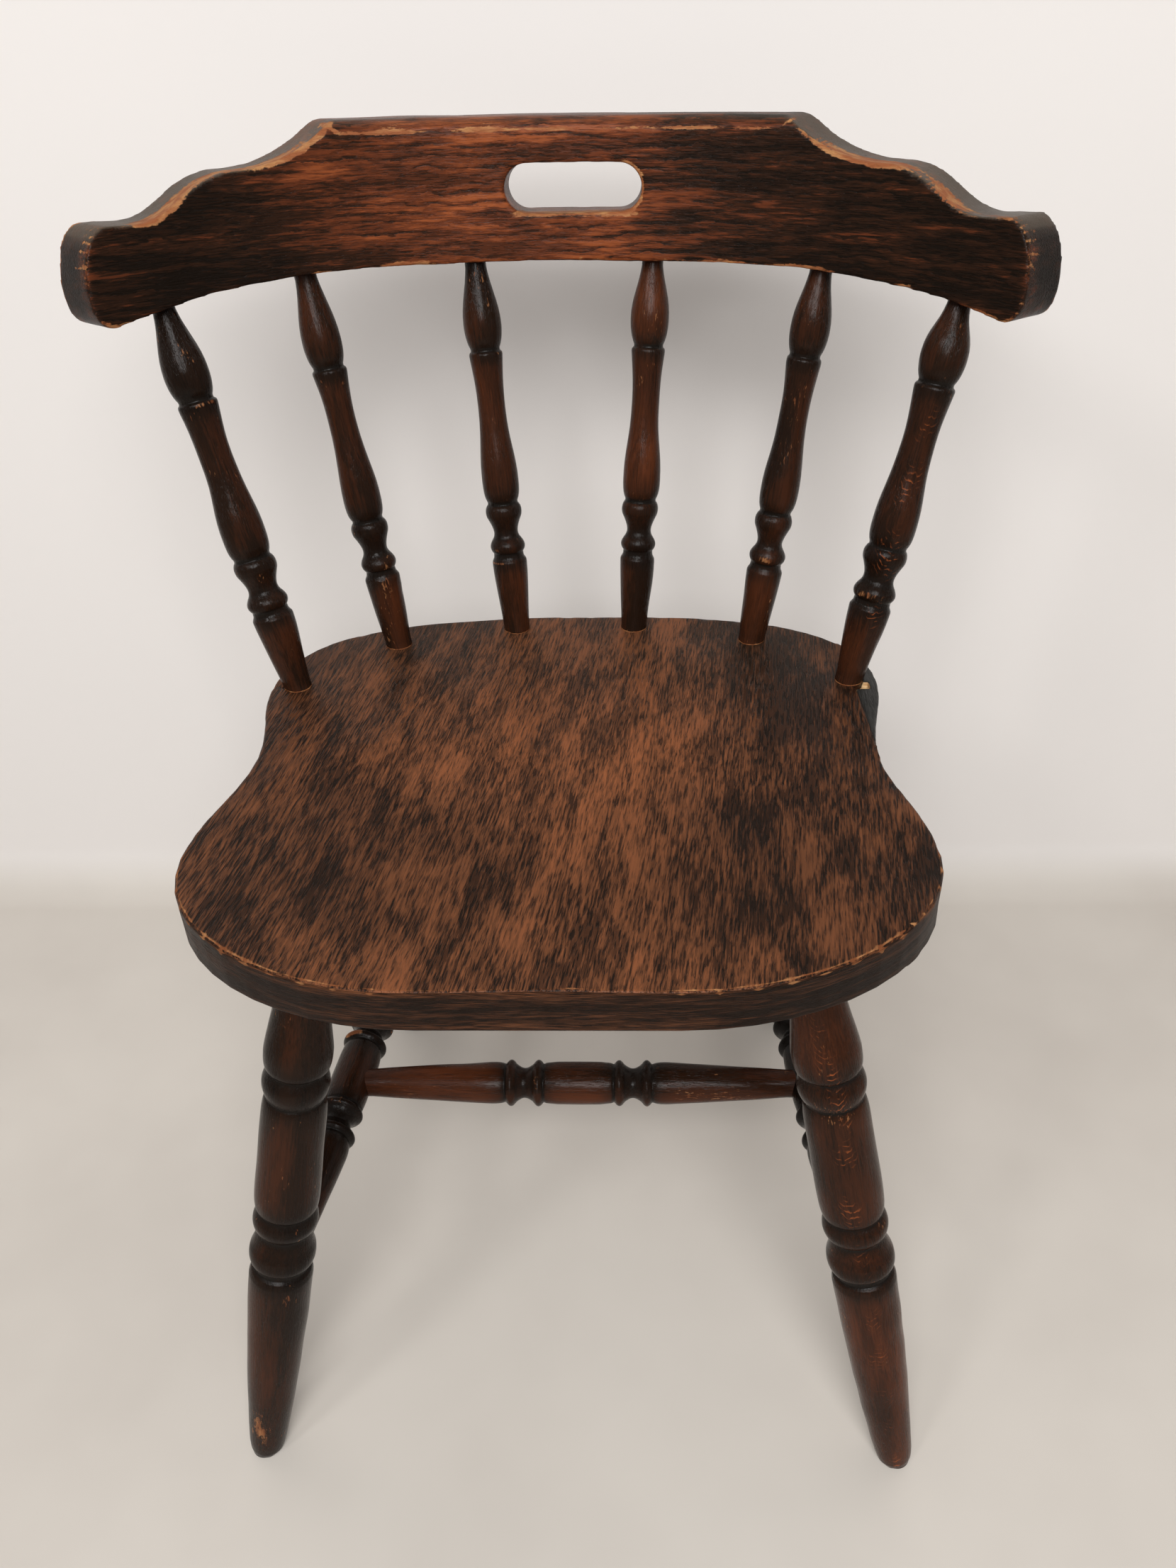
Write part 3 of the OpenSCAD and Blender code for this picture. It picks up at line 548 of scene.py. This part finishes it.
class Paint:
    """Builds one node material a step at a time."""

    def __init__(self, name):
        self.material = bpy.data.materials.new(name)
        self.material.use_nodes = True
        self.tree = self.material.node_tree
        self.tree.nodes.clear()

    def add(self, kind, inputs, **settings):
        node = self.tree.nodes.new("ShaderNode" + kind)
        for key, value in settings.items():
            setattr(node, key, value)
        for key, value in inputs.items():
            if isinstance(value, bpy.types.NodeSocket):
                self.tree.links.new(value, node.inputs[key])
            else:
                node.inputs[key].default_value = value
        return node

    def attribute(self, name, output="Fac"):
        return self.add("Attribute", {}, attribute_name=name).outputs[output]

    def calc(self, operation, a, b=0.0, clamp=False):
        return self.add("Math", {0: a, 1: b}, operation=operation, use_clamp=clamp).outputs[0]

    def times(self, a, b):
        return self.calc("MULTIPLY", a, b)

    def centred(self, value, gain):
        """A pattern of values about a half, moved to lie about zero, times a gain."""
        return self.times(self.calc("SUBTRACT", value, 0.5), gain)

    def total(self, *terms):
        value = terms[0]
        for term in terms[1:]:
            value = self.calc("ADD", value, term)
        return value

    def stretch(self, vector, factors):
        return self.add("VectorMath", {0: vector, 1: factors}, operation="MULTIPLY").outputs[0]

    def noise(self, vector, factors, detail=3.0, roughness=0.55, distortion=0.0):
        inputs = {"Vector": self.stretch(vector, factors), "Scale": 1.0, "Detail": detail,
                  "Roughness": roughness, "Distortion": distortion}
        return self.add("TexNoise", inputs).outputs["Fac"]

    def band(self, value, low, high):
        """0 at low, 1 at high, and smooth between them. low may be the larger."""
        return self.add("MapRange", {"Value": value, "From Min": low, "From Max": high},
                        interpolation_type="SMOOTHSTEP").outputs[0]

    def ramp(self, value, stops):
        node = self.add("ValToRGB", {"Fac": value})
        bar = node.color_ramp.elements
        while len(bar) < len(stops):
            bar.new(0.5)
        for element, (place, colour) in zip(bar, stops):
            element.position = place
            element.color = colour
        return node.outputs["Color"]

    def mix(self, amount, a, b):
        node = self.add("Mix", {}, data_type="RGBA")
        for socket, value in ((node.inputs[0], amount), (node.inputs[6], a), (node.inputs[7], b)):
            if isinstance(value, bpy.types.NodeSocket):
                self.tree.links.new(value, socket)
            else:
                socket.default_value = value
        return node.outputs[2]

    def finish(self, colour, roughness, height, height_size, specular):
        bump = self.add("Bump", {"Height": height, "Strength": 1.0, "Distance": height_size})
        shader = self.add("BsdfPrincipled", {"Base Color": colour, "Roughness": roughness,
                                             "Specular IOR Level": specular, "Normal": bump.outputs[0]})
        self.add("OutputMaterial", {"Surface": shader.outputs[0]})
        return self.material


def growth_lines(p, grain, fibre, lines_per_metre):
    """Dark growth lines along the grain, crisp below and soft above, and missing in places."""
    rise = p.add("SeparateXYZ", {0: grain}).outputs["X"]
    drift = p.noise(grain, (14, 14, 7), 3, 0.6)
    rough = p.noise(grain, (150, 90, 60), 3, 0.65)
    line = p.calc("FRACT", p.total(p.times(rise, lines_per_metre), p.times(drift, 5.0),
                                   p.centred(fibre, 0.5), p.centred(rough, 1.1)))
    line = p.times(p.band(line, 0.55, 0.05), p.band(line, 0.0, 0.05))
    return p.times(line, p.band(p.noise(grain, (70, 60, 16), 3, 0.6), 0.36, 0.58))


def crescents(p, grain, fleck):
    """The small bowed marks in a row along the front of a turned piece."""
    parts = p.add("SeparateXYZ", {0: fleck}).outputs
    strength, across, along = parts["X"], parts["Y"], parts["Z"]
    bowed = p.total(along, p.times(p.times(across, across), -FLECK_BOW),
                    p.centred(p.noise(grain, (120, 120, 60), 2), 0.012))
    phase = p.calc("FRACT", p.calc("DIVIDE", bowed, FLECK_PITCH))
    broken = p.band(p.noise(grain, (260, 260, 160), 2, 0.6), 0.42, 0.62)
    mark = p.times(p.band(phase, 0.32, 0.0), broken)
    return p.calc("MULTIPLY", mark, strength, clamp=True)


def wood(name, tones, patches, fibres, pores, level, contrast, pore_depth, gloss, specular,
         fibre_depth=0.30, figure=0.0, specks=False, ragged_wear=0.75, feather=0.55,
         bare=(BARE_RED, BARE_WOOD), relief_size=0.25 * MM):
    """Stained and varnished hardwood. Its tone runs up the tones' ramp from black to worn red.

    patches, fibres and pores are how finely each pattern is drawn, with the third number along
    the grain. Patches have feathered ends because the fibres shift their edges. The figure is the
    number of growth lines in a metre across the grain, and specks are tiny rubbed spots.
    """
    p = Paint(name)
    grain, fleck = p.attribute("grain", "Vector"), p.attribute("fleck", "Vector")
    wear, grime, shade, painted_sheen = (p.attribute(n) for n in ("wear", "grime", "shade", "painted_sheen"))
    fibre = p.noise(grain, fibres, 3, 0.65)
    broad = p.noise(grain, [0.35 * f for f in patches], 2, 0.5)
    ragged = p.total(p.noise(grain, patches, 3, 0.6, 0.4), p.centred(fibre, feather),
                     p.centred(broad, 0.5))
    dark = p.band(ragged, 0.52, 0.40)
    if figure:
        dark = p.calc("MAXIMUM", p.times(dark, 0.6), growth_lines(p, grain, fibre, figure))
    light = p.band(ragged, 0.56, 0.72)
    pore = p.times(p.band(p.noise(grain, pores, 1.5, 0.5), 0.50, 0.58), p.band(ragged, 0.90, 0.45))
    tone = p.total(level, shade, p.centred(broad, 0.35), p.centred(fibre, fibre_depth),
                   p.times(dark, -contrast), p.times(light, 0.7 * contrast), p.times(pore, -pore_depth))
    # Painted sheen: grey reflected room light mixed into the colour where the mesh asks for it.
    colour = p.mix(p.times(painted_sheen, 0.62), p.ramp(tone, tones), PAINTED_SHEEN_GREY)
    colour = p.mix(crescents(p, grain, fleck), colour, FLECK_RED)

    chips = p.noise(grain, (300, 300, 130), 3, 0.7)
    worn = p.band(p.total(wear, p.centred(chips, ragged_wear), p.centred(fibre, 0.25)), 0.34, 0.50)
    if specks:
        speck = p.times(p.noise(grain, (700, 700, 190), 2, 0.55), p.noise(grain, (45, 45, 30), 2, 0.6))
        worn = p.calc("MAXIMUM", worn, p.times(p.band(speck, 0.40, 0.47), 0.7))
    bare_colour = p.mix(p.band(p.noise(grain, (170, 170, 40), 3, 0.6), 0.40, 0.66), *bare)
    colour = p.mix(worn, colour, bare_colour)
    dirt = p.times(grime, p.band(p.noise(grain, (90, 90, 60), 2), 0.15, 0.5))
    colour = p.mix(dirt, colour, GRIME)
    roughness = p.total(gloss, p.centred(broad, 0.25), p.centred(fibre, 0.12), p.times(worn, 0.25),
                        p.times(painted_sheen, 0.12))
    height = p.total(p.centred(fibre, 0.5), p.times(pore, -0.8), p.times(dark, -0.3),
                     p.times(worn, -0.35))
    return p.finish(colour, roughness, height, relief_size, specular)


TURNED_TONES = ((0.0, (0.0050, 0.0032, 0.0022, 1)), (0.35, (0.0145, 0.0068, 0.0038, 1)),
                (0.65, (0.046, 0.0140, 0.0058, 1)), (1.0, (0.120, 0.032, 0.011, 1)))
RAIL_TONES = ((0.0, (0.0070, 0.0040, 0.0024, 1)), (0.3, (0.024, 0.0094, 0.0046, 1)),
              (0.6, (0.110, 0.0275, 0.0098, 1)), (1.0, (0.29, 0.075, 0.022, 1)))
SEAT_TONES = ((0.0, (0.0100, 0.0050, 0.0028, 1)), (0.3, (0.045, 0.0170, 0.0078, 1)),
              (0.6, (0.120, 0.0435, 0.018, 1)), (1.0, (0.25, 0.082, 0.031, 1)))
TURNED_BARE = ((0.15, 0.048, 0.017, 1), (0.30, 0.13, 0.052, 1))
SEAT_BARE = ((0.16, 0.052, 0.019, 1), (0.34, 0.16, 0.065, 1))
BLACK_PAINT = ((0.0, (0.009, 0.009, 0.0085, 1)), (1.0, (0.038, 0.036, 0.032, 1)))
BARE_CHIP = ((0.42, 0.24, 0.11, 1), (0.60, 0.42, 0.22, 1))

turned_wood = wood("turned_wood", TURNED_TONES, (70, 70, 12), (800, 800, 40), (1300, 1300, 120),
                   level=0.44, contrast=0.12, pore_depth=0.06, gloss=0.18, specular=0.10,
                   fibre_depth=0.12, specks=True, bare=TURNED_BARE, relief_size=0.12 * MM)
rail_wood = wood("rail_wood", RAIL_TONES, (110, 70, 14), (700, 520, 55), (1300, 1300, 120),
                 level=0.46, contrast=0.33, pore_depth=0.12, gloss=0.32, specular=0.10,
                 fibre_depth=0.16, figure=150.0)
seat_wood = wood("seat_wood", SEAT_TONES, (70, 55, 19), (700, 700, 55), (950, 950, 85),
                 level=0.56, contrast=0.24, pore_depth=0.32, gloss=0.36, specular=0.09,
                 fibre_depth=0.34, ragged_wear=0.35, feather=0.95, bare=SEAT_BARE)
repair_black = wood("repair_black", BLACK_PAINT, (48, 60, 17), (420, 420, 42), (640, 640, 62),
                    level=0.4, contrast=0.15, pore_depth=0.2, gloss=0.42, specular=0.25,
                    bare=BARE_CHIP)


# ======================================================================== the chair

TURNED = {
    "leg_front_left": dict(worn=0.25, rubs=[((-0.222, -0.242, 0.035), (0.012, 0.02, 0.028), 0.45)]),
    "leg_front_right": dict(worn=0.25, shade=0.22, flecked=1.0),
    "leg_rear_left": dict(worn=0.25),
    "leg_rear_right": dict(worn=0.25),
    "side_stretcher_left": dict(rubs=[((-0.190, 0.010, 0.180), (0.02, 0.03, 0.008), 0.40)]),
    "side_stretcher_right": dict(worn=0.2, shade=-0.15),
    "cross_stretcher": dict(worn=0.25, shade=0.16),
    "spindle_1": dict(shade=0.08),
    "spindle_2": dict(shade=0.08),
    "spindle_3": dict(shade=0.14),
    "spindle_4": dict(shade=0.10),
    "spindle_5": dict(shade=0.08),
    "spindle_6": dict(worn=0.42, shade=0.10, flecked=1.0),
}
for number, (node, looks) in enumerate(TURNED.items()):
    slot = next(f"{kind}_wood" for kind in ("leg", "stretcher", "spindle") if kind in node)
    spin(node, slot, turned_wood, 100 + 10 * number, **looks)
make_seat(seat_wood)
make_rail(rail_wood)
make_strip(repair_black)


# ======================================================================== stage, light and camera

def make_stage():
    """A floor that sweeps up into a wall close behind the chair."""
    wall_y, sweep, wall_height, half, near = 0.405, 0.05, 3.0, 3.5, -4.0
    line = [(near, 0.0)]
    line += [(wall_y - sweep + sweep * math.sin(a), sweep - sweep * math.cos(a))
             for a in np.linspace(0, math.pi / 2, 17)]
    line += [(wall_y, wall_height)]
    points = [(x, y, z) for x in (-half, half) for y, z in line]
    n = len(line)
    faces = [[k, n + k, n + k + 1, k + 1] for k in range(n - 1)]
    mesh = bpy.data.meshes.new("floor_and_wall")
    mesh.from_pydata(points, [], faces)
    mesh.polygons.foreach_set("use_smooth", [True] * len(mesh.polygons))
    stage = bpy.data.objects.new("floor_and_wall", mesh)
    bpy.context.scene.collection.objects.link(stage)
    p = Paint("pale_plaster")
    place = p.add("NewGeometry", {})
    height = p.add("SeparateXYZ", {0: place.outputs["Position"]}).outputs["Z"]
    cloud = p.noise(place.outputs["Position"], (2.2, 2.2, 2.2), 4, 0.6)
    floor = p.mix(p.band(cloud, 0.3, 0.7), *FLOOR_TONES)
    colour = p.mix(p.band(height, 0.005, 0.05), floor, WALL_TONE)
    shader = p.add("BsdfPrincipled", {"Base Color": colour, "Roughness": 0.6})
    clear = p.add("BsdfTransparent", {})
    both = p.add("MixShader", {0: place.outputs["Backfacing"], 1: shader.outputs[0], 2: clear.outputs[0]})
    p.add("OutputMaterial", {"Surface": both.outputs[0]})
    mesh.materials.append(p.material)


def lamp(name, place, target, size, watts):
    data = bpy.data.lights.new(name, "AREA")
    data.shape = "DISK"
    data.size = size
    data.energy = watts
    light = bpy.data.objects.new(name, data)
    light.location = place
    light.rotation_mode = "QUATERNION"
    light.rotation_quaternion = (Vector(target) - Vector(place)).to_track_quat("-Z", "Y")
    bpy.context.scene.collection.objects.link(light)


def make_camera():
    data = bpy.data.cameras.new("camera")
    data.lens = LENS_MM
    data.sensor_width = 36
    data.clip_start = 0.02
    camera = bpy.data.objects.new("camera", data)
    forward = Vector((math.sin(CAMERA_YAW) * math.cos(CAMERA_PITCH),
                      math.cos(CAMERA_YAW) * math.cos(CAMERA_PITCH), -math.sin(CAMERA_PITCH)))
    right = Vector((math.cos(CAMERA_YAW), -math.sin(CAMERA_YAW), 0))
    up = right.cross(forward)
    c, s = math.cos(CAMERA_ROLL), math.sin(CAMERA_ROLL)
    x, y = c * right + s * up, -s * right + c * up
    turn = Matrix((x, y, -forward)).transposed()
    camera.matrix_world = Matrix.Translation(CAMERA_AT) @ turn.to_4x4()
    bpy.context.scene.collection.objects.link(camera)
    bpy.context.scene.camera = camera


def make_world():
    world = bpy.data.worlds.new("soft_room")
    world.use_nodes = True
    back = world.node_tree.nodes["Background"]
    back.inputs["Color"].default_value = ROOM_TINT
    back.inputs["Strength"].default_value = ROOM_STRENGTH
    bpy.context.scene.world = world


make_stage()
for lamp_name, settings in LAMPS.items():
    lamp(lamp_name, **settings)
make_camera()
make_world()
bpy.context.scene.view_settings.view_transform = "Standard"
